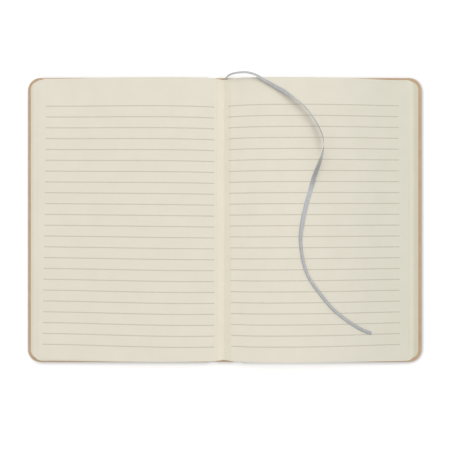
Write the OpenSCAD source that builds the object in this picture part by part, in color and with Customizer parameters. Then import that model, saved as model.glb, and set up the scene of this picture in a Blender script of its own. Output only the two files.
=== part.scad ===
// Ruled hardback notebook lying open at its middle, with a ribbon marker
// X runs across the spread, +Y points to the head of the book, +Z up, origin under the middle of the spine

/* [Cover boards] */
// Thickness of a covered board
board_t = 2.4; // [1.8:0.1:4]
// How far the boards stand out past the leaves at head and tail
head_square = 3.1; // [1:0.1:6]
// How far the boards stand out past the lowest leaf at the fore-edge
fore_square = 3.3; // [1:0.1:6]
// Radius of a board's outer corners
corner_r = 9.5; // [5:0.5:16]
// Radius of the covering rolled over a board's edges
edge_r = 0.8; // [0.3:0.1:0.8]

/* [Hinges and spine] */
// Thickness of the bare covering at the hinges
covering_t = 0.8; // [0.4:0.1:1.2]
// Width of the thin groove along which a cover folds
groove_w = 5.1; // [3:0.1:9]
// Distance from a hinge line to the first edge of its cover
hinge_gap = 0.3; // [0.2:0.1:0.6]
// Distance from a hinge line to the edge of the spine panel
spine_gap = 0.6; // [0.5:0.1:1]
// Thickness of the spine panel
spine_t = 2; // [1.2:0.1:2.4]
// Thickness of the lining glued inside the spine
lining_t = 0.5; // [0.2:0.1:0.8]

/* [Pages] */
// Height of the leaves from tail to head
leaf_h = 207; // [140:1:250]
// Width of the top leaf of each half from the fold to its fore-edge
leaf_w = 139.5; // [100:0.5:180]
// Number of leaves in each half
leaf_count = 48; // [30:1:90]
// Thickness of one leaf
leaf_t = 0.1; // [0.08:0.01:0.12]
// Radius of the leaves' outer corners
leaf_r = 6; // [4:0.5:14]
// Thickness of an endpaper pasted inside a cover
endpaper_t = 0.2; // [0.1:0.05:0.4]
// Room left in the closed book between a half's leaves and the middle
closing_room = 0.1; // [0.05:0.05:0.5]

/* [Lie of the open pages] */
// Distance from the fold to the crown of the arched leaves
crown_x = 39; // [25:1:55]
// Rise of the left leaves' crown over their fore-edge
left_rise = 5.3; // [2:0.1:9]
// Rise of the right leaves' crown over their fore-edge
right_rise = 6.5; // [2:0.1:9]
// How long the left leaves keep their height before they fall to the fore-edge
left_fall = 1; // [0.8:0.1:1.8]
// How long the right leaves keep their height before they fall to the fore-edge
right_fall = 1.4; // [0.8:0.1:1.8]
// Depth of the fold below the fore-edge's upper face
fold_drop = 0.7; // [0:0.1:2]
// Width of the flat strip that slopes down to the fold on each side
fold_w = 5.2; // [3:0.1:6]
// How far the lowest leaf slides out past the top leaf
fan_w = 5; // [1:0.5:6]
// Number of steps in the fanned fore-edge
fan_steps = 5; // [2:1:8]
// Running gap from the spine's pieces to each half's leaves and endpaper
leaf_gap = 0.3; // [0.2:0.1:0.6]

/* [Ruling] */
// Number of ruled lines on a page
line_count = 23; // [10:1:24]
// Distance between ruled lines
line_pitch = 8; // [5:0.5:8]
// Width of a ruled line
line_w = 0.4; // [0.2:0.1:0.8]
// Height of the printed line on the paper
line_h = 0.08; // [0.05:0.01:0.2]
// Margin from the head of the page to the first line
head_margin = 19.5; // [8:0.5:20]
// Margin from a page's fore-edge to the lines
fore_margin = 10.5; // [4:0.5:20]
// Margin from the sewn backs to the lines
inner_margin = 1; // [0:0.5:12]
// Tilt of the left page's lines, left by its trimming
left_tilt = -0.6; // [-1:0.1:1]
// Tilt of the right page's lines
right_tilt = 0.3; // [-1:0.1:1]

/* [Ribbon] */
// Width of the ribbon marker
ribbon_w = 3.2; // [2:0.1:6]
// Thickness of the ribbon marker
ribbon_t = 0.5; // [0.3:0.1:0.8]

/* [Hidden] */
$fn = 64;

cover_color = "#CBA98D";
lining_color = "#D9D2C2";
paper_color = "#E6E0D0";
endpaper_color = "#E2D8C4";
line_color = "#B7B3A6";
ribbon_color = "#96989A";

// Half the closed thickness is a board, an endpaper and one half's leaves
stack_t = leaf_count * leaf_t;
closed_half = board_t + endpaper_t + stack_t + closing_room;
hinge_z = covering_t / 2;
hinge_x = closed_half - hinge_z;

// Where the cover's pieces start and end, out from the middle of the spine
low_leaf_w = leaf_w + fan_w;
flap_x = hinge_x + hinge_gap;
board_x = flap_x + groove_w;
cover_x = low_leaf_w + fore_square;
cover_h = leaf_h + 2 * head_square;
spine_x = hinge_x - spine_gap;

// Where the leaves start and end
leaf_z = board_t + endpaper_t;
fore_z = leaf_z + stack_t;
fold_z = fore_z - fold_drop;
sewn_x = spine_x;
sewn_z = spine_t + lining_t;
leaf_x = sewn_x + leaf_gap;
// The endpaper clears the lining where that stands up in the closed book
endpaper_x = hinge_x + sewn_z - hinge_z + leaf_gap;
left_crown = fore_z + left_rise;
right_crown = fore_z + right_rise;
rise_steps = 9;
fall_steps = 12;

// Route of the ribbon's middle, from the head of the spine over the right page
ribbon_route = [
    [0.5, 104.3, 2.6], [0.5, 105.2, 6.5], [2.5, 106.2, 10.5], [6.5, 107, 13.5],
    [11.5, 107.2, 15.4], [17.1, 106.7, 15.8], [22.7, 104.5, 15.4], [27.8, 101, 15.3],
    [35.2, 96.7, 15.8], [42.1, 92.7, 16.8], [47.9, 88.7, 18], [52.2, 85.4, 19.2],
    [56.5, 81.2, 20.4], [61.3, 74.6, 21.4], [65.7, 67.6, 21.8], [69.1, 60.1, 21.5],
    [70.6, 53.2, 20.4], [70.2, 46.4, 18.8], [67.9, 39.1, 16.8], [64.7, 31.3, 15],
    [62.4, 23.5, 14.4], [59.4, 14.5, 14.5], [56.9, 5.5, 14.5], [55.4, -4, 14.5],
    [54.4, -13, 14.6], [55.4, -22, 14.5], [56.9, -30, 14.5], [59.4, -37.9, 14.5],
    [62.9, -45.4, 14.4], [67.8, -52.4, 14.2], [73.8, -59.8, 13.8], [80.2, -66.3, 13.4],
    [86.7, -71.7, 12.8], [93.7, -76.7, 12.1], [100.6, -80.7, 11.3], [107.2, -83.3, 10.5]];
ribbon_sides = 8;

// Height of a page's upper face at a distance from the fold: a flat strip, then a quarter ellipse up
// to the crown, then an easy slope down to the fore-edge
function rise_z(x, crown) = fold_z + (crown - fold_z) * sqrt(1 - pow((crown_x - x) / crown_x, 2));
function fall_z(x, crown, fall) =
    fore_z + (crown - fore_z) * pow(cos(90 * pow((x - crown_x) / (leaf_w - crown_x), fall)), 2);
function page_z(x, crown, fall = 1) =
    x < fold_w ? fold_z + (rise_z(fold_w, crown) - fold_z) * x / fold_w
    : x < crown_x ? rise_z(x, crown)
    : fall_z(x, crown, fall);

// Points along a page's upper face, close together where it dips into the fold
function rise_x(i) =
    let (start = acos(1 - leaf_x / crown_x)) crown_x * (1 - cos(start + (90 - start) * i / rise_steps));
function fall_x(i) = crown_x + (leaf_w - crown_x) * i / fall_steps;
function page_points(crown, fall) = concat(
    [for (i = [0 : rise_steps]) let (x = rise_x(i)) [x, page_z(x, crown, fall)]],
    [for (i = [1 : fall_steps]) let (x = fall_x(i)) [x, page_z(x, crown, fall)]]);
function reversed(points) = [for (i = [len(points) - 1 : -1 : 0]) points[i]];
function raised(points, h) = [for (p = points) [p.x, p.y + h]];

// Draws a shape given across the spread and upwards, and runs it along the book
module along_book(length) {
    rotate([90, 0, 0]) translate([0, 0, -length / 2]) linear_extrude(length) children();
}

// Section through a covered edge, rolled above and below at its far side
module edge_section(w, t) {
    square([w - edge_r, t]);
    translate([0, edge_r]) square([w, t - 2 * edge_r]);
    for (z = [edge_r, t - edge_r]) translate([w - edge_r, z]) circle(edge_r);
}

// Outline of a sheet from its inner edge to round outer corners
module sheet_outline(inner, outer, h, r) {
    translate([inner, -h / 2]) square([outer - r - inner, h]);
    translate([outer - r, r - h / 2]) square([r, h - 2 * r]);
    for (side = [-1, 1]) translate([outer - r, side * (h / 2 - r)]) circle(r);
}

// One cover lying to the right: rolled board, with the thin flap that folds along the spine
module cover_half() {
    straight_x = cover_x - corner_r;
    straight_y = cover_h / 2 - corner_r;
    translate([flap_x, -cover_h / 2, 0]) cube([board_x - flap_x, cover_h, covering_t]);
    translate([board_x, -straight_y, 0]) cube([straight_x - board_x, 2 * straight_y, board_t]);
    translate([straight_x, 0, 0]) along_book(2 * straight_y) edge_section(corner_r, board_t);
    for (side = [0, 1]) mirror([0, side, 0]) {
        translate([board_x, straight_y, 0]) rotate([90, 0, 90])
            linear_extrude(straight_x - board_x) edge_section(corner_r, board_t);
        translate([straight_x, straight_y, 0]) rotate_extrude(angle = 90) edge_section(corner_r, board_t);
    }
}

module back_cover() {
    color(cover_color) cover_half();
}

module front_cover() {
    color(cover_color) mirror([1, 0, 0]) cover_half();
}

// Stiff panel of the spine, rolled at its head and tail
module spine() {
    color(cover_color) translate([-spine_x, 0, 0]) rotate([90, 0, 90]) linear_extrude(2 * spine_x)
        for (side = [0, 1]) mirror([side, 0]) edge_section(cover_h / 2, spine_t);
}

// Strip glued between the spine panel and the backs of the sections
module spine_lining() {
    color(lining_color) translate([-spine_x + lining_t, -leaf_h / 2, spine_t])
        cube([2 * (spine_x - lining_t), leaf_h, lining_t]);
}

// Sheet pasted over the turned-in covering inside a cover, trimmed with the leaves
module endpaper_half() {
    translate([0, 0, board_t]) linear_extrude(endpaper_t)
        sheet_outline(endpaper_x, low_leaf_w, leaf_h, leaf_r);
}

module back_endpaper() {
    color(endpaper_color) endpaper_half();
}

module front_endpaper() {
    color(endpaper_color) mirror([1, 0, 0]) endpaper_half();
}

// Folded, sewn and glued backs of the sections, with the open fold along their middle
module sewn_back() {
    left = [for (x = [sewn_x, fold_w]) [-x, page_z(x, left_crown)]];
    right = [for (x = [0, fold_w, sewn_x]) [x, page_z(x, right_crown)]];
    color(paper_color) along_book(leaf_h)
        polygon(concat([[sewn_x, sewn_z], [-sewn_x, sewn_z]], left, right));
}

// The leaves of one half: arched from the fold, with lower leaves fanned out at the fore-edge
module leaf_half(crown, fall) {
    step_t = stack_t / fan_steps;
    intersection() {
        along_book(leaf_h) polygon(concat([[leaf_w, leaf_z], [leaf_x, leaf_z]], page_points(crown, fall)));
        linear_extrude(crown + board_t) sheet_outline(leaf_x, leaf_w, leaf_h, leaf_r);
    }
    for (i = [0 : fan_steps - 2])
        translate([0, 0, leaf_z + i * step_t]) linear_extrude(step_t)
            sheet_outline(leaf_x, low_leaf_w - i * fan_w / (fan_steps - 1), leaf_h, leaf_r);
}

module left_pages() {
    color(paper_color) mirror([1, 0, 0]) leaf_half(left_crown, left_fall);
}

module right_pages() {
    color(paper_color) leaf_half(right_crown, right_fall);
}

// The ruled lines of one page, lying on its arched upper face
module ruling_half(crown, fall, tilt) {
    start = leaf_x + inner_margin;
    length = leaf_w - fore_margin - start;
    intersection() {
        along_book(leaf_h)
            polygon(concat(raised(page_points(crown, fall), line_h), reversed(page_points(crown, fall))));
        linear_extrude(crown + board_t) rotate(tilt)
            translate([start, leaf_h / 2 - head_margin - line_w / 2])
                for (i = [0 : line_count - 1]) translate([0, -i * line_pitch]) square([length, line_w]);
    }
}

module left_ruling() {
    color(line_color) mirror([1, 0, 0]) ruling_half(left_crown, left_fall, -left_tilt);
}

module right_ruling() {
    color(line_color) ruling_half(right_crown, right_fall, right_tilt);
}

// Direction of the ribbon at a point of its route, and the level direction across it
function ribbon_along(i) =
    let (d = ribbon_route[min(i + 1, len(ribbon_route) - 1)] - ribbon_route[max(i - 1, 0)]) d / norm(d);
function ribbon_across(i) = let (s = cross([0, 0, 1], ribbon_along(i))) s / norm(s);
function ribbon_ring(i) =
    let (s = ribbon_across(i), u = cross(ribbon_along(i), s), grow = 1 / cos(180 / ribbon_sides))
    [for (k = [0 : ribbon_sides - 1]) let (a = 360 * (k + 0.5) / ribbon_sides)
        ribbon_route[i] + grow * (s * cos(a) * ribbon_w / 2 + u * sin(a) * ribbon_t / 2)];

// Flat ribbon swept along its route
module ribbon() {
    rings = len(ribbon_route);
    n = ribbon_sides;
    sides = [for (i = [0 : rings - 2], k = [0 : n - 1]) let (m = (k + 1) % n)
        each [[i * n + k, (i + 1) * n + m, i * n + m], [i * n + k, (i + 1) * n + k, (i + 1) * n + m]]];
    first = [for (k = [0 : n - 1]) k];
    last = [for (k = [n - 1 : -1 : 0]) (rings - 1) * n + k];
    color(ribbon_color) polyhedron(
        points = [for (i = [0 : rings - 1]) each ribbon_ring(i)],
        faces = concat(sides, [first, last]));
}

back_cover();
front_cover();
spine();
spine_lining();
back_endpaper();
front_endpaper();
sewn_back();
left_pages();
right_pages();
left_ruling();
right_ruling();
ribbon();
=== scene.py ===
import math

import bmesh
import bpy
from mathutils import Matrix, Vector


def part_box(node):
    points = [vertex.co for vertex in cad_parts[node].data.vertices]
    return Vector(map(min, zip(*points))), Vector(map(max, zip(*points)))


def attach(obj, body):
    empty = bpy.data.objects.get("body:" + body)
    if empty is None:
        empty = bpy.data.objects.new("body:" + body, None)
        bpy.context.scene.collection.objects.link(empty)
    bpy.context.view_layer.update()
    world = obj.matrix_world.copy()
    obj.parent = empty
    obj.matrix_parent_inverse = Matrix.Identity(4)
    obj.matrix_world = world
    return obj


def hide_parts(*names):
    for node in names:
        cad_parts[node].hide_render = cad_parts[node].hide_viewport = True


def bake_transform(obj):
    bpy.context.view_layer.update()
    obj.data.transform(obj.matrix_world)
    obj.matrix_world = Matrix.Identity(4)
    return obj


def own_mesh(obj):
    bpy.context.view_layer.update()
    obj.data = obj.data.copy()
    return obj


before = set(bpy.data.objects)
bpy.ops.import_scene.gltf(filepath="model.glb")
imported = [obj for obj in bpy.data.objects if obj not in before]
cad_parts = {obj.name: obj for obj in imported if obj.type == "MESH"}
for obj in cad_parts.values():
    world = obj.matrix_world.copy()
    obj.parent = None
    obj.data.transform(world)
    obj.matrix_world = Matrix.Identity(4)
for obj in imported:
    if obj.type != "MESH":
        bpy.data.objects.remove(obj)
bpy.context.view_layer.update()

# Camera: 350 mm straight above the floor, a little right of the spine and below the middle, so that
# the arched leaves spread outwards as they do in the photograph. The head of the book is at the top.
camera_data = bpy.data.cameras.new("camera")
camera_data.lens = 36.94
camera_data.sensor_width = 36
camera_data.clip_start = 0.01
camera = bpy.data.objects.new("camera", camera_data)
camera.location = (0.0009, -0.0045, 0.350)
bpy.context.scene.collection.objects.link(camera)
bpy.context.scene.camera = camera


# Ribbon marker: woven satin 3.2 mm wide, glued behind the sewn backs at the head. It stands on edge
# over the head of the book, turns over once on its loop, and lies flat down the right page to its cut
# end. It is swept along its route as one flat strip, in two pieces that part above the spine.
ribbon_w = 0.0032
ribbon_t = 0.00028
# Middle of the ribbon in metres, its roll about its own line in degrees, and how far its selvedges
# curl down in degrees
ribbon_route = [
    (0.0005, 0.1042, 0.0028, -60, 0), (0.0009, 0.1047, 0.0065, -54, 0),
    (0.0029, 0.1058, 0.0105, -48, 0), (0.0066, 0.1063, 0.0135, -46, 0),
    (0.0116, 0.1064, 0.0154, -46, 0), (0.0170, 0.1061, 0.0158, -45, 0),
    (0.0227, 0.1045, 0.0154, -44, 0), (0.0280, 0.1014, 0.0149, -40, 0),
    (0.0354, 0.0971, 0.0149, -30, 0), (0.0422, 0.0929, 0.0159, -26, 0),
    (0.0479, 0.0886, 0.0170, -38, 0), (0.0522, 0.0853, 0.0176, -52, 0),
    (0.0569, 0.0814, 0.0181, -59, 0), (0.0620, 0.0751, 0.0183, -61, 0),
    (0.0665, 0.0680, 0.0184, -63, 0), (0.0699, 0.0603, 0.0187, -67, 0),
    (0.0709, 0.0532, 0.0185, -80, 0), (0.0697, 0.0465, 0.0181, -112, 0),
    (0.0676, 0.0392, 0.0166, -128, 0), (0.0648, 0.0313, 0.0150, -148, 0),
    (0.0627, 0.0234, 0.0139, -176, 0), (0.0601, 0.0143, 0.0139, -180, 0),
    (0.0577, 0.0053, 0.0142, -178, 15), (0.0558, -0.0041, 0.0147, -174, 40),
    (0.0547, -0.0130, 0.0149, -172, 70), (0.0553, -0.0220, 0.0150, -172, 84),
    (0.0567, -0.0301, 0.0151, -172, 88), (0.0591, -0.0380, 0.0150, -172, 88),
    (0.0629, -0.0454, 0.0149, -172, 86), (0.0679, -0.0523, 0.0147, -172, 84),
    (0.0737, -0.0598, 0.0143, -172, 82), (0.0800, -0.0665, 0.0139, -172, 80),
    (0.0866, -0.0719, 0.0133, -172, 76), (0.0937, -0.0768, 0.0125, -172, 70),
    (0.1006, -0.0808, 0.0117, -172, 64), (0.1072, -0.0834, 0.0109, -172, 60),
]
# The marker starts this many metres along the ribbon, after its root
root_run = 0.017
# Millimetres along it and the level of its tone there, set against the photo. It is painted shade
# where the satin turns away from the light and at its root, and in part the satin's own colour.
ribbon_run = 270
ribbon_tones = [
    (0, 0.62), (9, 0.66), (15, 0.88), (34, 0.88), (42, 0.78), (52, 0.80), (66, 0.95),
    (80, 0.88), (87, 0.72), (97, 0.70), (103, 0.95), (109, 1), (114, 0.70), (119, 0.62),
    (129, 0.68), (136, 0.93), (150, 0.88), (178, 0.84), (196, 0.90), (214, 0.84), (240, 0.84),
    (258, 0.76), (ribbon_run, 0.76),
]


def srgb(red, green, blue):
    """A colour as it is read off a screen, 0 to 255, made linear for a shader."""
    channels = [c / 255 for c in (red, green, blue)]
    linear = [c / 12.92 if c <= 0.04045 else ((c + 0.055) / 1.055) ** 2.4 for c in channels]
    return (linear[0], linear[1], linear[2], 1)


def between(a, b, c, d, t):
    """A value on the smooth curve from b to c, with a before them and d after."""
    square = 2 * a - 5 * b + 4 * c - d
    cube = 3 * b - a - 3 * c + d
    return 0.5 * (2 * b + (c - a) * t + square * t ** 2 + cube * t ** 3)


def ribbon_stations(first, last, steps):
    """Places and rolls along the smooth route, close together."""
    stations = []
    end = len(ribbon_route) - 1
    for i in range(first, last):
        near = [ribbon_route[min(max(k, 0), end)] for k in (i - 1, i, i + 1, i + 2)]
        for s in range(steps):
            stations.append([between(*[p[n] for p in near], s / steps) for n in range(5)])
    stations.append(list(ribbon_route[last]))
    return stations


def ribbon_strip(name, stations, run):
    """A closed flat strip with soft selvedges along the stations, with its width and length as UV.
    The length is counted from run, which is where the strip starts along the whole ribbon."""
    half_w = ribbon_w / 2
    half_t = ribbon_t / 2
    lower = [(-1, -0.4), (-0.9, -1), (-0.55, -1), (-0.2, -1)]
    lower += [(0.2, -1), (0.55, -1), (0.9, -1), (1, -0.4)]
    section = lower + [(w, -t) for w, t in reversed(lower)]
    strip = bmesh.new()
    uv = strip.loops.layers.uv.new("weave")
    rings = []
    lengths = []
    for i, station in enumerate(stations):
        before = Vector(stations[max(i - 1, 0)][:3])
        after = Vector(stations[min(i + 1, len(stations) - 1)][:3])
        middle = Vector(station[:3])
        along = (after - before).normalized()
        across = Vector((0, 0, 1)).cross(along).normalized()
        up = along.cross(across)
        roll = math.radians(station[3])
        wide = across * math.cos(roll) + up * math.sin(roll)
        thick = up * math.cos(roll) - across * math.sin(roll)
        run += (middle - before).length
        lengths.append(run)
        curl = max(math.radians(station[4]), 0.001)
        side = -1 if thick.z < 0 else 1
        ring = []
        for w, t in section:
            bow = half_w / curl * (math.cos(w * curl) - 1)
            out = half_w / curl * math.sin(w * curl)
            ring.append(strip.verts.new(middle + wide * out + thick * (side * bow + t * half_t)))
        rings.append(ring)
    for i in range(len(rings) - 1):
        for k in range(len(section)):
            m = (k + 1) % len(section)
            face = strip.faces.new((rings[i][k], rings[i + 1][k], rings[i + 1][m], rings[i][m]))
            places = [(section[k][0], lengths[i]), (section[k][0], lengths[i + 1]),
                      (section[m][0], lengths[i + 1]), (section[m][0], lengths[i])]
            for loop, (w, v) in zip(face.loops, places):
                loop[uv].uv = (w * half_w * 1000, v * 1000)
    strip.faces.new(rings[0])
    strip.faces.new(list(reversed(rings[-1])))
    bmesh.ops.recalc_face_normals(strip, faces=strip.faces)
    mesh = bpy.data.meshes.new(name)
    strip.to_mesh(mesh)
    strip.free()
    piece = bpy.data.objects.new(name, mesh)
    bpy.context.scene.collection.objects.link(piece)
    for polygon in mesh.polygons:
        polygon.use_smooth = True
    mesh.set_sharp_from_angle(angle=math.radians(50))
    return piece


def new_finish(name, roughness, specular):
    """A material with its shader's plain values, to which each finish adds its own nodes."""
    material = bpy.data.materials.new(name)
    material.use_nodes = True
    nodes = material.node_tree.nodes
    shader = nodes["Principled BSDF"]
    shader.inputs["Roughness"].default_value = roughness
    shader.inputs["Specular IOR Level"].default_value = specular
    return material, nodes, material.node_tree.links


def noise_texture(nodes, scale, detail, roughness=0.5):
    """Cloudy variation, finer with a larger scale."""
    texture = nodes.new("ShaderNodeTexNoise")
    texture.inputs["Scale"].default_value = scale
    texture.inputs["Detail"].default_value = detail
    texture.inputs["Roughness"].default_value = roughness
    return texture


def thread_bands(nodes, direction, scale, distortion):
    """Soft bands that follow each other along X or Y, for threads."""
    texture = nodes.new("ShaderNodeTexWave")
    texture.bands_direction = direction
    texture.inputs["Scale"].default_value = scale
    texture.inputs["Distortion"].default_value = distortion
    return texture


def arithmetic(nodes, operation, second=0.5):
    """One sum, with the number that it adds, takes or multiplies by."""
    node = nodes.new("ShaderNodeMath")
    node.operation = operation
    node.inputs[1].default_value = second
    return node


def two_tones(nodes, low, low_colour, high, high_colour):
    """Turns a value into a colour between two tones."""
    ramp = nodes.new("ShaderNodeValToRGB")
    ramp.color_ramp.elements[0].position = low
    ramp.color_ramp.elements[0].color = low_colour
    ramp.color_ramp.elements[1].position = high
    ramp.color_ramp.elements[1].color = high_colour
    return ramp


def colour_mix(nodes, blend):
    """Mixes or multiplies two colours."""
    mix = nodes.new("ShaderNodeMix")
    mix.data_type = "RGBA"
    mix.blend_type = blend
    return mix


def surface_relief(nodes, strength, distance):
    """Fine relief of a surface, its depth in metres."""
    bump = nodes.new("ShaderNodeBump")
    bump.inputs["Strength"].default_value = strength
    bump.inputs["Distance"].default_value = distance
    return bump


def satin():
    """Grey satin: fine ribs across the width, a tighter selvedge at both sides, a soft sheen, and
    painted shade along its length.
    """
    material, nodes, links = new_finish("ribbon_satin", 0.4, 0.6)
    shader = nodes["Principled BSDF"]
    place = nodes.new("ShaderNodeUVMap")
    place.uv_map = "weave"
    ribs = thread_bands(nodes, "Y", 0.85, 0.6)
    ribs.inputs["Detail"].default_value = 1
    threads = thread_bands(nodes, "X", 1.9, 0.3)
    shade = noise_texture(nodes, 0.35, 4)
    weave = arithmetic(nodes, "MULTIPLY_ADD", 0.45)
    tone = arithmetic(nodes, "MULTIPLY_ADD", 0.55)
    colour = two_tones(nodes, 0.2, srgb(169, 171, 174), 0.95, srgb(203, 205, 207))
    split = nodes.new("ShaderNodeSeparateXYZ")
    down = nodes.new("ShaderNodeMapRange")
    down.inputs["From Max"].default_value = ribbon_run
    # Painted shade along the ribbon, where the satin turns and at its root
    painted_shade_along = nodes.new("ShaderNodeValToRGB")
    stops = painted_shade_along.color_ramp.elements
    stops[0].color = (ribbon_tones[0][1],) * 3 + (1,)
    stops[1].color = (ribbon_tones[-1][1],) * 3 + (1,)
    for length, level in ribbon_tones[1:-1]:
        stops.new(length / ribbon_run).color = (level, level, level, 1)
    toned = colour_mix(nodes, "MULTIPLY")
    toned.inputs["Factor"].default_value = 1
    relief = surface_relief(nodes, 0.5, 0.00008)
    for texture in (ribs, threads, shade):
        links.new(place.outputs["UV"], texture.inputs["Vector"])
    links.new(threads.outputs["Fac"], weave.inputs[0])
    links.new(ribs.outputs["Fac"], weave.inputs[2])
    links.new(weave.outputs[0], relief.inputs["Height"])
    links.new(ribs.outputs["Fac"], tone.inputs[0])
    links.new(shade.outputs["Fac"], tone.inputs[2])
    links.new(tone.outputs[0], colour.inputs["Fac"])
    links.new(place.outputs["UV"], split.inputs["Vector"])
    links.new(split.outputs["Y"], down.inputs["Value"])
    links.new(down.outputs["Result"], painted_shade_along.inputs["Fac"])
    links.new(colour.outputs["Color"], toned.inputs["A"])
    links.new(painted_shade_along.outputs["Color"], toned.inputs["B"])
    links.new(toned.outputs["Result"], shader.inputs["Base Color"])
    links.new(relief.outputs["Normal"], shader.inputs["Normal"])
    return material


ribbon_material = satin()
ribbon_root = ribbon_strip("ribbon_root", ribbon_stations(0, 4, 8), 0)
ribbon_root.data.materials.append(ribbon_material)
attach(ribbon_root, "spine_panel")
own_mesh(ribbon_root)

ribbon_line = ribbon_stations(4, len(ribbon_route) - 1, 6)
ribbon = ribbon_strip("ribbon_marker", ribbon_line, root_run)
ribbon.data.materials.append(ribbon_material)
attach(ribbon, "back_half")
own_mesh(ribbon)
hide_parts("ribbon")


# Covers and spine panel: grey board wrapped in one tan covering that is rolled over every edge and
# glued down inside. The covering has a fine pebbled grain, and it is rubbed paler along the edges.
cover_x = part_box("back_cover")[1].x
cover_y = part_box("back_cover")[1].y


def covering():
    """Tan covering: cloudy colour, fine pebbled grain, paler where hands rub the edges."""
    material, nodes, links = new_finish("tan_covering", 0.62, 0.3)
    shader = nodes["Principled BSDF"]
    place = nodes.new("ShaderNodeTexCoord")
    cloud = noise_texture(nodes, 110, 6, 0.6)
    colour = two_tones(nodes, 0.3, srgb(187, 160, 131), 0.8, srgb(199, 173, 143))
    grain = nodes.new("ShaderNodeTexVoronoi")
    grain.inputs["Scale"].default_value = 1700
    fibre = noise_texture(nodes, 2600, 3)
    height = arithmetic(nodes, "MULTIPLY_ADD", 0.6)
    relief = surface_relief(nodes, 0.45, 0.00012)
    split = nodes.new("ShaderNodeSeparateXYZ")
    side_x = arithmetic(nodes, "ABSOLUTE")
    side_y = arithmetic(nodes, "ABSOLUTE")
    from_x = arithmetic(nodes, "SUBTRACT", cover_x)
    from_y = arithmetic(nodes, "SUBTRACT", cover_y)
    nearest = arithmetic(nodes, "MAXIMUM")
    rub = nodes.new("ShaderNodeMapRange")
    rub.inputs["From Min"].default_value = -0.0012
    rub.inputs["From Max"].default_value = 0
    rub.inputs["To Max"].default_value = 0.75
    patches = noise_texture(nodes, 160, 5)
    worn = arithmetic(nodes, "MULTIPLY")
    mixed = colour_mix(nodes, "MIX")
    mixed.inputs["B"].default_value = srgb(212, 190, 163)
    for texture in (cloud, grain, fibre, patches):
        links.new(place.outputs["Object"], texture.inputs["Vector"])
    links.new(place.outputs["Object"], split.inputs["Vector"])
    links.new(split.outputs["X"], side_x.inputs[0])
    links.new(split.outputs["Y"], side_y.inputs[0])
    links.new(side_x.outputs[0], from_x.inputs[0])
    links.new(side_y.outputs[0], from_y.inputs[0])
    links.new(from_x.outputs[0], nearest.inputs[0])
    links.new(from_y.outputs[0], nearest.inputs[1])
    links.new(nearest.outputs[0], rub.inputs["Value"])
    links.new(rub.outputs["Result"], worn.inputs[0])
    links.new(patches.outputs["Fac"], worn.inputs[1])
    links.new(cloud.outputs["Fac"], colour.inputs["Fac"])
    links.new(worn.outputs[0], mixed.inputs["Factor"])
    links.new(colour.outputs["Color"], mixed.inputs["A"])
    links.new(mixed.outputs["Result"], shader.inputs["Base Color"])
    links.new(grain.outputs["Distance"], height.inputs[0])
    links.new(fibre.outputs["Fac"], height.inputs[2])
    links.new(height.outputs[0], relief.inputs["Height"])
    links.new(relief.outputs["Normal"], shader.inputs["Normal"])
    return material


def dress(node, material):
    """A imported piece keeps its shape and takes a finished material."""
    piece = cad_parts[node]
    piece.data.materials.clear()
    piece.data.materials.append(material)


cover_material = covering()
dress("back_cover", cover_material)
dress("front_cover", cover_material)
dress("spine", cover_material)


# Hinge joints: where the covering bridges from the spine panel to each cover, it is bare and thin,
# and it bends along the fold. A strip of the same covering is let into both sides of the gap.
joint_inner = 0.0061
joint_w = 0.0017
joint_t = 0.0005
joint_z = 0.0004
joint_end_gap = 0.0001
joint_parts = 10


def flat_block(name, middle, size):
    """A block to shape further, its place and size in its mesh."""
    bpy.ops.object.select_all(action="DESELECT")
    bpy.ops.mesh.primitive_cube_add(size=1, location=middle)
    block = bpy.context.object
    block.name = name
    block.scale = size
    bpy.ops.object.transform_apply(location=True, rotation=False, scale=True)
    return block


def cut_across(piece, places, direction):
    """Cuts the whole mesh at each distance along a direction, which adds edges to shape it with."""
    bpy.context.view_layer.objects.active = piece
    bpy.ops.object.mode_set(mode="EDIT")
    cut = bmesh.from_edit_mesh(piece.data)
    for place in places:
        everything = cut.verts[:] + cut.edges[:] + cut.faces[:]
        point = Vector(direction) * place
        bmesh.ops.bisect_plane(cut, geom=everything, plane_co=point, plane_no=direction)
    bmesh.update_edit_mesh(piece.data)
    bpy.ops.object.mode_set(mode="OBJECT")


def joint_strip(name, side):
    """The thin strip of covering at one hinge, cut fine along its width so that it bends smoothly."""
    middle = (side * (joint_inner + joint_w / 2), 0, joint_z)
    strip = flat_block(name, middle, (joint_w, 2 * (cover_y - joint_end_gap), joint_t))
    places = [joint_inner + joint_w * i / joint_parts for i in range(1, joint_parts)]
    cut_across(strip, [side * x for x in places], (1, 0, 0))
    strip.data.materials.append(cover_material)
    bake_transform(strip)


joint_strip("back_joint", 1)
joint_strip("front_joint", -1)


# Spine lining: a strip of strong, open-woven paper cloth glued between the spine panel and the
# backs of the sections. Endpapers: heavier cream sheets pasted over the turned-in covering.
def lining_cloth():
    """Pale kraft lining with an open weave of fine threads."""
    material, nodes, links = new_finish("lining_cloth", 0.85, 0.2)
    shader = nodes["Principled BSDF"]
    place = nodes.new("ShaderNodeTexCoord")
    weft = thread_bands(nodes, "Y", 420, 1.5)
    warp = thread_bands(nodes, "X", 420, 1.5)
    crossed = arithmetic(nodes, "MULTIPLY")
    colour = two_tones(nodes, 0, srgb(196, 184, 162), 1, srgb(222, 213, 196))
    relief = surface_relief(nodes, 0.6, 0.0001)
    for texture in (weft, warp):
        links.new(place.outputs["Object"], texture.inputs["Vector"])
    links.new(weft.outputs["Fac"], crossed.inputs[0])
    links.new(warp.outputs["Fac"], crossed.inputs[1])
    links.new(crossed.outputs[0], colour.inputs["Fac"])
    links.new(crossed.outputs[0], relief.inputs["Height"])
    links.new(colour.outputs["Color"], shader.inputs["Base Color"])
    links.new(relief.outputs["Normal"], shader.inputs["Normal"])
    return material


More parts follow.
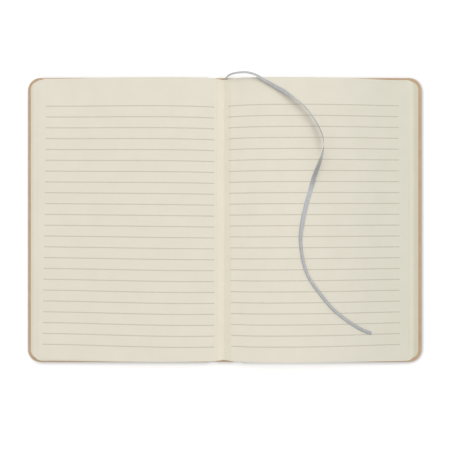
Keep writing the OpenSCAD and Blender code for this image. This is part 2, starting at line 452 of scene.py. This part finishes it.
def pasted_sheet():
    """Cream endpaper: cloudy pulp and a faint felt texture."""
    material, nodes, links = new_finish("pasted_endpaper", 0.8, 0.25)
    shader = nodes["Principled BSDF"]
    place = nodes.new("ShaderNodeTexCoord")
    pulp = noise_texture(nodes, 260, 6, 0.65)
    colour = two_tones(nodes, 0.3, srgb(218, 209, 188), 0.75, srgb(228, 220, 201))
    relief = surface_relief(nodes, 0.3, 0.00006)
    links.new(place.outputs["Object"], pulp.inputs["Vector"])
    links.new(pulp.outputs["Fac"], colour.inputs["Fac"])
    links.new(pulp.outputs["Fac"], relief.inputs["Height"])
    links.new(colour.outputs["Color"], shader.inputs["Base Color"])
    links.new(relief.outputs["Normal"], shader.inputs["Normal"])
    return material


dress("spine_lining", lining_cloth())
endpaper_material = pasted_sheet()
dress("back_endpaper", endpaper_material)
dress("front_endpaper", endpaper_material)


# Folded backs: the sections' folds are sewn and glued to the spine, and the book lies open at the
# middle of one. A flat strip of each page slopes down to the crease, which lies 1 mm left of the
# spine's middle. In the closed book these strips press together in the spine's middle plane.
# Values for both halves are kept under 1 for the back half, to the right, and -1 for the front half.
leaf_y = 0.1035
leaf_x = 0.1395
half_leaves = 48
crease_x = -0.00095
strip_edge = {1: 0.0046, -1: 0.0064}
seam_x = 0.0095
backs_low = 0.00255
backs_high = 0.00645
fold_z = 0.0067
fore_z = 0.0074
crown_x = 0.039
crown_z = {1: 0.0139, -1: 0.0127}
fall_shape = {1: 1.4, -1: 1}
fold_cuts = (0.0058, 0.0064, 0.007, 0.0075, 0.008, 0.0085, 0.009)


def arched(side, x):
    """Height of a page's upper face at a distance from the middle, from the crown to both sides."""
    if x < crown_x:
        return fold_z + (crown_z[side] - fold_z) * math.sqrt(1 - ((crown_x - x) / crown_x) ** 2)
    fall = math.cos(math.pi / 2 * min((x - crown_x) / (leaf_x - crown_x), 1) ** fall_shape[side])
    return fore_z + (crown_z[side] - fore_z) * fall ** 2


def page_height(side, x):
    """Height of a page at x, with the flat strip that slopes down to the crease."""
    edge = strip_edge[side]
    out = side * x
    crease = side * crease_x
    if out < edge:
        return fold_z + (arched(side, edge) - fold_z) * (out - crease) / (edge - crease)
    return arched(side, out)


# Tone of the pages at distances from the spine, set against the photo: paler on the strip beside the
# crease, and greyer to the right, most at the fore-edge. It is mostly painted light and shade, and in
# part the paper's own tint.
tones_x = 0.15
page_light_and_shade = [
    (-tones_x, 0.934, 0.934, 0.924), (-0.1404, 0.943, 0.943, 0.943), (-0.0095, 0.943, 0.943, 0.943),
    (-0.0066, 0.955, 0.955, 0.950), (-0.0047, 0.995, 0.995, 0.990), (-0.0014, 1.000, 1.000, 0.990),
    (-0.0006, 0.955, 0.955, 0.950), (0.0060, 0.955, 0.955, 0.950), (0.0090, 0.943, 0.943, 0.943),
    (0.0500, 0.950, 0.950, 0.950), (0.0880, 0.905, 0.915, 0.915), (0.1120, 0.875, 0.887, 0.889),
    (0.1340, 0.870, 0.883, 0.875), (0.1358, 0.896, 0.910, 0.903), (0.1391, 0.896, 0.910, 0.903),
    (0.1396, 0.840, 0.835, 0.806), (tones_x, 0.820, 0.816, 0.783),
]


def paint_light_and_shade(material, place, colour):
    """Multiplies a colour by the painted light and shade of the pages at its distance from the spine.
    """
    nodes = material.node_tree.nodes
    links = material.node_tree.links
    across = nodes.new("ShaderNodeSeparateXYZ")
    spread = nodes.new("ShaderNodeMapRange")
    spread.inputs["From Min"].default_value = -tones_x
    spread.inputs["From Max"].default_value = tones_x
    light_and_shade = nodes.new("ShaderNodeValToRGB")
    stops = light_and_shade.color_ramp.elements
    stops[0].color = page_light_and_shade[0][1:] + (1,)
    stops[1].color = page_light_and_shade[-1][1:] + (1,)
    for x, red, green, blue in page_light_and_shade[1:-1]:
        stops.new((x + tones_x) / (2 * tones_x)).color = (red, green, blue, 1)
    toned = colour_mix(nodes, "MULTIPLY")
    toned.inputs["Factor"].default_value = 1
    links.new(place.outputs["Object"], across.inputs["Vector"])
    links.new(across.outputs["X"], spread.inputs["Value"])
    links.new(spread.outputs["Result"], light_and_shade.inputs["Fac"])
    links.new(colour, toned.inputs["A"])
    links.new(light_and_shade.outputs["Color"], toned.inputs["B"])
    links.new(toned.outputs["Result"], nodes["Principled BSDF"].inputs["Base Color"])


def leaf_paper():
    """Ivory writing paper: cloudy pulp and felt on its faces, and the fine lines of single leaves
    on the trimmed edges, which follow each vertex's place in the pile of leaves."""
    material, nodes, links = new_finish("leaf_paper", 0.78, 0.25)
    shader = nodes["Principled BSDF"]
    place = nodes.new("ShaderNodeTexCoord")
    pulp = noise_texture(nodes, 70, 8, 0.6)
    colour = two_tones(nodes, 0.3, srgb(235, 229, 212), 0.75, srgb(239, 233, 217))
    order = nodes.new("ShaderNodeAttribute")
    order.attribute_name = "leaf_order"
    lines = nodes.new("ShaderNodeTexNoise")
    lines.noise_dimensions = "1D"
    lines.inputs["Scale"].default_value = 1.6
    lines.inputs["Detail"].default_value = 3
    edge_colour = two_tones(nodes, 0.35, srgb(216, 206, 184), 0.62, srgb(242, 235, 216))
    facing = nodes.new("ShaderNodeSeparateXYZ")
    level = arithmetic(nodes, "ABSOLUTE")
    on_edge = arithmetic(nodes, "LESS_THAN", 0.5)
    mixed = colour_mix(nodes, "MIX")
    felt = noise_texture(nodes, 1500, 4)
    relief = surface_relief(nodes, 0.25, 0.00005)
    links.new(place.outputs["Object"], pulp.inputs["Vector"])
    links.new(place.outputs["Object"], felt.inputs["Vector"])
    links.new(place.outputs["Normal"], facing.inputs["Vector"])
    links.new(facing.outputs["Z"], level.inputs[0])
    links.new(level.outputs[0], on_edge.inputs[0])
    links.new(order.outputs["Fac"], lines.inputs["W"])
    links.new(lines.outputs["Fac"], edge_colour.inputs["Fac"])
    links.new(pulp.outputs["Fac"], colour.inputs["Fac"])
    links.new(on_edge.outputs[0], mixed.inputs["Factor"])
    links.new(colour.outputs["Color"], mixed.inputs["A"])
    links.new(edge_colour.outputs["Color"], mixed.inputs["B"])
    links.new(felt.outputs["Fac"], relief.inputs["Height"])
    links.new(relief.outputs["Normal"], shader.inputs["Normal"])
    # Painted light and shade across the spread, paler by the crease and greyer towards the right
    # fore-edge
    paint_light_and_shade(material, place, mixed.outputs["Result"])
    return material


def number_leaves(piece, leaf_at):
    """Stores on each vertex which leaf of the pile it belongs to, for the lines on the edges."""
    attribute = piece.data.attributes.new("leaf_order", "FLOAT", "POINT")
    attribute.data.foreach_set("value", [leaf_at(v.co) for v in piece.data.vertices])


paper_material = leaf_paper()


def folded_backs(name, side, inner, outer):
    """Part of the open fold: solid with folded backs below, and the page's sloping strip on top."""
    middle_z = (backs_low + backs_high) / 2
    middle = (side * (inner + outer) / 2, 0, middle_z)
    backs = flat_block(name, middle, (outer - inner, 2 * leaf_y, backs_high - backs_low))
    edge = strip_edge[side]
    places = [inner + 0.0004, inner + 0.0012, inner + 0.003, edge - 0.0004, edge, edge + 0.0005]
    places += [x for x in fold_cuts if x > edge + 0.0007]
    cut_across(backs, [side * x for x in places if x < outer - 0.0002], (1, 0, 0))
    for vertex in backs.data.vertices:
        if vertex.co.z > middle_z:
            vertex.co.z = page_height(side, vertex.co.x)
    number_leaves(backs, lambda co: 0 if co.z < middle_z else half_leaves)
    bpy.ops.object.shade_smooth_by_angle(angle=math.radians(9))
    backs.data.materials.append(paper_material)
    return backs


for name, side, inner, outer, joint in (
    ("back_folded_sheets", 1, 0, seam_x, "spine_hinge"),
    ("crease_of_the_fold", 1, crease_x, 0, "front_cover_hinge"),
    ("front_folded_sheets", -1, -crease_x, seam_x, "front_cover_hinge"),
):
    fold = folded_backs(name, side, inner, outer)
    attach(fold, "spine_panel")
    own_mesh(fold)
    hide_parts("sewn_back")


# Lower leaves: each half's pile that lies flat on its endpaper. The leaves are trimmed with round
# corners, and they slide out past each other towards the fore-edge as the book is opened flat.
stack_low = 0.0026
stack_top = 0.0072
stack_layers = 24
leaf_t = 0.0001
low_leaf_x = {1: 0.1448, -1: 0.1452}
top_leaf_x = {1: 0.1393, -1: 0.1405}
stack_lead = 0.0009
# No leaf slides out or is trimmed quite like the next
uneven_slide = 0.00009
uneven_trim = 0.0001
corner_r = 0.006
corner_parts = 10
# Corners farther out than this are the fore-edge's
outer_x = 0.1


def trimmed_slab(name, side, outer, low, high):
    """A few leaves as one flat slab with round outer corners."""
    middle = (side * (seam_x + outer) / 2, 0, (low + high) / 2)
    slab = flat_block(name, middle, (outer - seam_x, 2 * leaf_y, high - low))
    bpy.ops.object.mode_set(mode="EDIT")
    bpy.ops.mesh.select_all(action="DESELECT")
    shape = bmesh.from_edit_mesh(slab.data)
    for corner in shape.edges:
        ends = [v.co for v in corner.verts]
        if abs(ends[0].z - ends[1].z) > 1e-5 and side * ends[0].x > outer_x:
            corner.select_set(True)
    bmesh.update_edit_mesh(slab.data)
    bpy.ops.mesh.bevel(offset=corner_r, segments=corner_parts)
    bpy.ops.object.mode_set(mode="OBJECT")
    return slab


def lower_leaves(name, side):
    """Copies one slab up the pile, each a little shorter at the fore-edge than the one below."""
    layer = (stack_top - stack_low) / stack_layers
    outer = low_leaf_x[side]
    first = trimmed_slab(name, side, outer, stack_low, stack_low + layer)
    slabs = [first]
    for i in range(1, stack_layers):
        slab = first.copy()
        slab.data = first.data.copy()
        bpy.context.scene.collection.objects.link(slab)
        slabs.append(slab)
    reach = outer - top_leaf_x[side] - stack_lead
    for i, slab in enumerate(slabs):
        drift = reach * i / (stack_layers - 1) - uneven_slide * math.sin(2.4 * i + side)
        inset = uneven_trim - uneven_trim * math.sin(3.7 * i + 2 * side)
        for vertex in slab.data.vertices:
            vertex.co.z += layer * i
            vertex.co.y -= math.copysign(inset, vertex.co.y)
            if side * vertex.co.x > seam_x + 0.001:
                vertex.co.x -= side * drift
    bpy.ops.object.select_all(action="DESELECT")
    for slab in slabs:
        slab.select_set(True)
    bpy.context.view_layer.objects.active = first
    bpy.ops.object.join()
    number_leaves(first, lambda co: (co.z - stack_low) / leaf_t)
    bpy.ops.object.shade_smooth_by_angle(angle=math.radians(30))
    first.data.materials.append(paper_material)
    return first


back_stack = lower_leaves("back_lower_leaves", 1)
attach(back_stack, "back_half")
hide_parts("right_pages")
front_stack = lower_leaves("front_lower_leaves", -1)
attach(front_stack, "front_half")
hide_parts("left_pages")


# Arched leaves: the upper leaves of each half spring from the fold, rise to a crown and come down
# on the pile. Each is a thin sheet of its own, and air shows between them at head and tail. They
# lie down flat on the pile as the book is closed.
arch_sheets = 13
arch_sheet_t = 0.0004
last_leaf_x = {1: 0.1355, -1: 0.1380}
# Their place in the pile, for the lines on the trimmed edges
first_arch_leaf = 20.5
leaves_per_sheet = 2
# How far the lowest sheet slides out at the fore-edge, and the end of it that moves
arch_slide = 0.0008
arch_slide_from = 0.125
arch_uneven = 0.00006
# Where a sheet is cut from the seam outwards, close together where it bends most
sheet_places = [seam_x + 0.0005 * i for i in range(1, 7)]
sheet_places += [0.0135 + 0.0015 * i for i in range(9)]
sheet_places += [0.0275 + 0.0035 * i for i in range(32)]
# Where the top leaf is also cut from tail to head, for its ripple
ripple_places = [-0.095 + 0.005 * i for i in range(39)]
ripple_h = 0.0005
ripple_from = 0.05
ripple_run = 0.085
# How far from the middle the upper leaves begin to slip
slip_from = {1: 0.085, -1: 0.033}


def ripple(side, x, y):
    """How far the top leaf lifts off the ones below it towards the fore-edge, in metres."""
    reach = min(max((side * x - ripple_from) / ripple_run, 0), 1)
    wave = 0.5 + 0.5 * math.sin(y * 38 + side * 1.3) * math.cos(y * 13 - side)
    return ripple_h * reach * reach * (0.4 + 0.6 * wave)


def slipped(side, x, top):
    """How far the upper leaves have slipped towards the head or, below nought, the tail."""
    out = max(side * x - slip_from[side], 0)
    if side > 0:
        return -0.013 * out
    if top:
        return 0.0003 * min((-x - seam_x) / 0.02, 1) + 0.0035 * out
    return -0.0045 * out


def arched_sheet(name, side, outer, y_places):
    """One flat sheet with round corners and the cuts that it bends along. It is 2 mm thick until it is
    bent, so that its upper and lower faces can be told apart."""
    bpy.ops.object.select_all(action="DESELECT")
    bpy.ops.mesh.primitive_plane_add(size=1, location=(side * (seam_x + outer) / 2, 0, 0))
    sheet = bpy.context.object
    sheet.name = name
    sheet.scale = (outer - seam_x, 2 * leaf_y, 1)
    bpy.ops.object.transform_apply(location=True, rotation=False, scale=True)
    bpy.ops.object.mode_set(mode="EDIT")
    bpy.ops.mesh.select_all(action="DESELECT")
    shape = bmesh.from_edit_mesh(sheet.data)
    for vertex in shape.verts:
        vertex.select = side * vertex.co.x > outer_x
    bmesh.update_edit_mesh(sheet.data)
    bpy.ops.mesh.bevel(offset=corner_r, segments=corner_parts, affect="VERTICES")
    bpy.ops.object.mode_set(mode="OBJECT")
    cut_across(sheet, [side * x for x in sheet_places], (1, 0, 0))
    cut_across(sheet, y_places, (0, 1, 0))
    bpy.ops.object.modifier_add(type="SOLIDIFY")
    sheet.modifiers["Solidify"].thickness = 0.002
    sheet.modifiers["Solidify"].offset = 0
    bpy.ops.object.modifier_apply(modifier="Solidify")
    return sheet


def bend_sheet(sheet, side, number):
    """Lifts a flat sheet to its place between the pile and the top page."""
    top = number == arch_sheets - 1
    for vertex in sheet.data.vertices:
        x = vertex.co.x
        pitch = (page_height(side, x) - stack_top) / arch_sheets
        upper = stack_top + pitch * (number + 1)
        if vertex.co.z < 0:
            upper -= min(0.75 * pitch, arch_sheet_t)
        if top:
            upper += ripple(side, x, vertex.co.y)
        vertex.co.z = upper
        vertex.co.y += slipped(side, x, top)
    leaf = half_leaves - 0.5 if top else first_arch_leaf + number * leaves_per_sheet
    number_leaves(sheet, lambda co: leaf)


def arched_leaves(name, side):
    """All the arched sheets of one half, the top page last."""
    top = arched_sheet(name, side, last_leaf_x[side], ripple_places)
    bend_sheet(top, side, arch_sheets - 1)
    model = arched_sheet(name + "_copy", side, top_leaf_x[side], [])
    sheets = [top, model]
    for i in range(1, arch_sheets - 1):
        sheet = model.copy()
        sheet.data = model.data.copy()
        bpy.context.scene.collection.objects.link(sheet)
        sheets.append(sheet)
    for i, sheet in enumerate(sheets[1:]):
        slide = arch_slide * (1 - i / (arch_sheets - 1)) + arch_uneven * math.sin(2.9 * i)
        for vertex in sheet.data.vertices:
            if side * vertex.co.x > arch_slide_from:
                vertex.co.x += side * slide
        bend_sheet(sheet, side, i)
    bpy.ops.object.select_all(action="DESELECT")
    for sheet in sheets:
        sheet.select_set(True)
    bpy.context.view_layer.objects.active = top
    bpy.ops.object.join()
    bpy.ops.object.shade_smooth_by_angle(angle=math.radians(30))
    top.data.materials.append(paper_material)
    return top


back_arch = arched_leaves("back_arched_leaves", 1)
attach(back_arch, "back_half")
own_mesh(back_arch)
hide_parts("right_pages")
front_arch = arched_leaves("front_arched_leaves", -1)
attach(front_arch, "front_half")
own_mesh(front_arch)
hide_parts("left_pages")


# Ruling: 23 fine grey-brown lines printed on each page, 8 mm apart and a little out of square with
# the trimmed edges. They are a film of ink on the page, so they bend and flatten with it.
line_count = 23
line_pitch = {1: 0.008, -1: 0.007984}
line_w = 0.00072
ink_low = -0.00001
ink_high = 0.00002
first_line_y = {1: 0.08345, -1: 0.08247}
line_slope = {1: math.tan(math.radians(0.32)), -1: -math.tan(math.radians(0.64))}
line_start = {1: (0.0024, 0.0049), -1: (0.0076, 0.0076)}
line_end = {1: (0.1282, 0.1292), -1: (0.1318, 0.1345)}


def printing_ink():
    """Thin grey-brown printing ink that breaks up slightly on the paper's felt."""
    material, nodes, links = new_finish("ruling_ink", 0.7, 0.25)
    place = nodes.new("ShaderNodeTexCoord")
    breaks = noise_texture(nodes, 900, 5)
    colour = two_tones(nodes, 0.3, srgb(207, 199, 183), 0.7, srgb(218, 210, 194))
    links.new(place.outputs["Object"], breaks.inputs["Vector"])
    links.new(breaks.outputs["Fac"], colour.inputs["Fac"])
    # The ink takes the same painted light and shade across the spread
    paint_light_and_shade(material, place, colour.outputs["Color"])
    return material


def ruled_lines(name, side, starts, ends, places):
    """Lines from a start to an end that shift evenly from head to tail, as thin closed films that
    hug the page at its own cuts."""
    film = bmesh.new()
    for n in range(line_count):
        start = starts[0] + (starts[1] - starts[0]) * n / (line_count - 1)
        end = ends[0] + (ends[1] - ends[0]) * n / (line_count - 1)
        rings = []
        for x in [start] + [p for p in places if start + 0.0001 < p < end - 0.0001] + [end]:
            y = first_line_y[side] - line_pitch[side] * n + line_slope[side] * side * x
            ring = []
            for across, above in ((-0.5, ink_low), (0.5, ink_low), (0.5, ink_high), (-0.5, ink_high)):
                here = y + across * line_w
                z = page_height(side, side * x) + above + ripple(side, side * x, here)
                ring.append(film.verts.new((side * x, here, z)))
            rings.append(ring)
        for a, b in zip(rings, rings[1:]):
            for k in range(4):
                film.faces.new((a[k], a[(k + 1) % 4], b[(k + 1) % 4], b[k]))
        film.faces.new(rings[0])
        film.faces.new(list(reversed(rings[-1])))
    bmesh.ops.recalc_face_normals(film, faces=film.faces)
    mesh = bpy.data.meshes.new(name)
    film.to_mesh(mesh)
    film.free()
    lines = bpy.data.objects.new(name, mesh)
    bpy.context.scene.collection.objects.link(lines)
    lines.data.materials.append(ink_material)
    return lines


ink_material = printing_ink()
for side, half, joint, node, name in (
    (1, "back_half", "spine_hinge", "right_ruling", "back"),
    (-1, "front_half", "front_cover_hinge", "left_ruling", "front"),
):
    fold_places = sorted((strip_edge[side], strip_edge[side] + 0.0005) + fold_cuts)
    near_lines = ruled_lines(
        name + "_fold_ruling", side, line_start[side], (seam_x, seam_x), fold_places)
    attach(near_lines, "spine_panel")
    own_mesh(near_lines)
    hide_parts(node)
    page_lines = ruled_lines(
        name + "_page_ruling", side, (seam_x, seam_x), line_end[side], sheet_places)
    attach(page_lines, half)
    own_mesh(page_lines)
    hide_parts(node)


# Studio: a white floor that keeps the book's soft shadow, light from all round, a lamp beyond the
# head of the book to the right, and a broad weak one to the left.
def seeing_rays(nodes, links):
    """1 for rays that see the background straight, in gloss or through glass, and 0 for light."""
    path = nodes.new("ShaderNodeLightPath")
    camera_or_gloss = arithmetic(nodes, "MAXIMUM")
    any_of_them = arithmetic(nodes, "MAXIMUM")
    links.new(path.outputs["Is Camera Ray"], camera_or_gloss.inputs[0])
    links.new(path.outputs["Is Glossy Ray"], camera_or_gloss.inputs[1])
    links.new(camera_or_gloss.outputs[0], any_of_them.inputs[0])
    links.new(path.outputs["Is Transmission Ray"], any_of_them.inputs[1])
    return any_of_them.outputs[0]


bpy.ops.object.select_all(action="DESELECT")
bpy.ops.mesh.primitive_plane_add(size=6, location=(0, 0, 0))
floor = bpy.context.object
floor.name = "floor"
floor_material = bpy.data.materials.new("white_floor")
floor_material.use_nodes = True
nodes = floor_material.node_tree.nodes
links = floor_material.node_tree.links
nodes.remove(nodes["Principled BSDF"])
matte = nodes.new("ShaderNodeBsdfDiffuse")
matte.inputs["Color"].default_value = (0.94, 0.94, 0.94, 1)
glow = nodes.new("ShaderNodeEmission")
lift = arithmetic(nodes, "MULTIPLY")
where = nodes.new("ShaderNodeTexCoord")
reach = nodes.new("ShaderNodeVectorMath")
reach.operation = "LENGTH"
level = nodes.new("ShaderNodeMapRange")
level.inputs["From Min"].default_value = 0.25
level.inputs["From Max"].default_value = 0.9
level.inputs["To Min"].default_value = 0.21
level.inputs["To Max"].default_value = 0.5
both = nodes.new("ShaderNodeAddShader")
links.new(seeing_rays(nodes, links), lift.inputs[0])
links.new(where.outputs["Object"], reach.inputs[0])
links.new(reach.outputs["Value"], level.inputs["Value"])
links.new(level.outputs["Result"], lift.inputs[1])
links.new(lift.outputs[0], glow.inputs["Strength"])
links.new(matte.outputs[0], both.inputs[0])
links.new(glow.outputs[0], both.inputs[1])
# A narrow contact shade that the floor adds to what the lamps cast, a little wider towards the tail
# and the right, as in the photo
lean = nodes.new("ShaderNodeCombineXYZ")
lean.inputs["X"].default_value = -0.45
lean.inputs["Y"].default_value = 0.20
lean.inputs["Z"].default_value = 0.82
contact = nodes.new("ShaderNodeAmbientOcclusion")
contact.inputs["Distance"].default_value = 0.0035
shade = nodes.new("ShaderNodeMixShader")
links.new(lean.outputs[0], contact.inputs["Normal"])
links.new(contact.outputs["AO"], shade.inputs[0])
links.new(both.outputs[0], shade.inputs[2])
links.new(shade.outputs[0], nodes["Material Output"].inputs["Surface"])
floor.data.materials.append(floor_material)

world = bpy.data.worlds.new("soft_light")
world.use_nodes = True
bpy.context.scene.world = world
sky_nodes = world.node_tree.nodes
sky_links = world.node_tree.links
sky = sky_nodes["Background"]
sky.inputs["Color"].default_value = (1, 1, 1, 1)
sky_level = sky_nodes.new("ShaderNodeMapRange")
sky_level.inputs["To Min"].default_value = 0.65
sky_level.inputs["To Max"].default_value = 1
sky_links.new(seeing_rays(sky_nodes, sky_links), sky_level.inputs["Value"])
sky_links.new(sky_level.outputs["Result"], sky.inputs["Strength"])

for name, place, size, energy in (
    ("head_lamp", (0.46, 0.60, 1.55), 1.70, 10.3),
    ("left_lamp", (-0.90, 0.10, 1.20), 1.40, 1.9),
):
    lamp_data = bpy.data.lights.new(name, "AREA")
    lamp_data.shape = "DISK"
    lamp_data.size = size
    lamp_data.energy = energy
    lamp = bpy.data.objects.new(name, lamp_data)
    lamp.location = place
    lamp.rotation_euler = (Vector((0, 0, 0)) - Vector(place)).to_track_quat("-Z", "Y").to_euler()
    bpy.context.scene.collection.objects.link(lamp)

bpy.context.scene.view_settings.view_transform = "Standard"
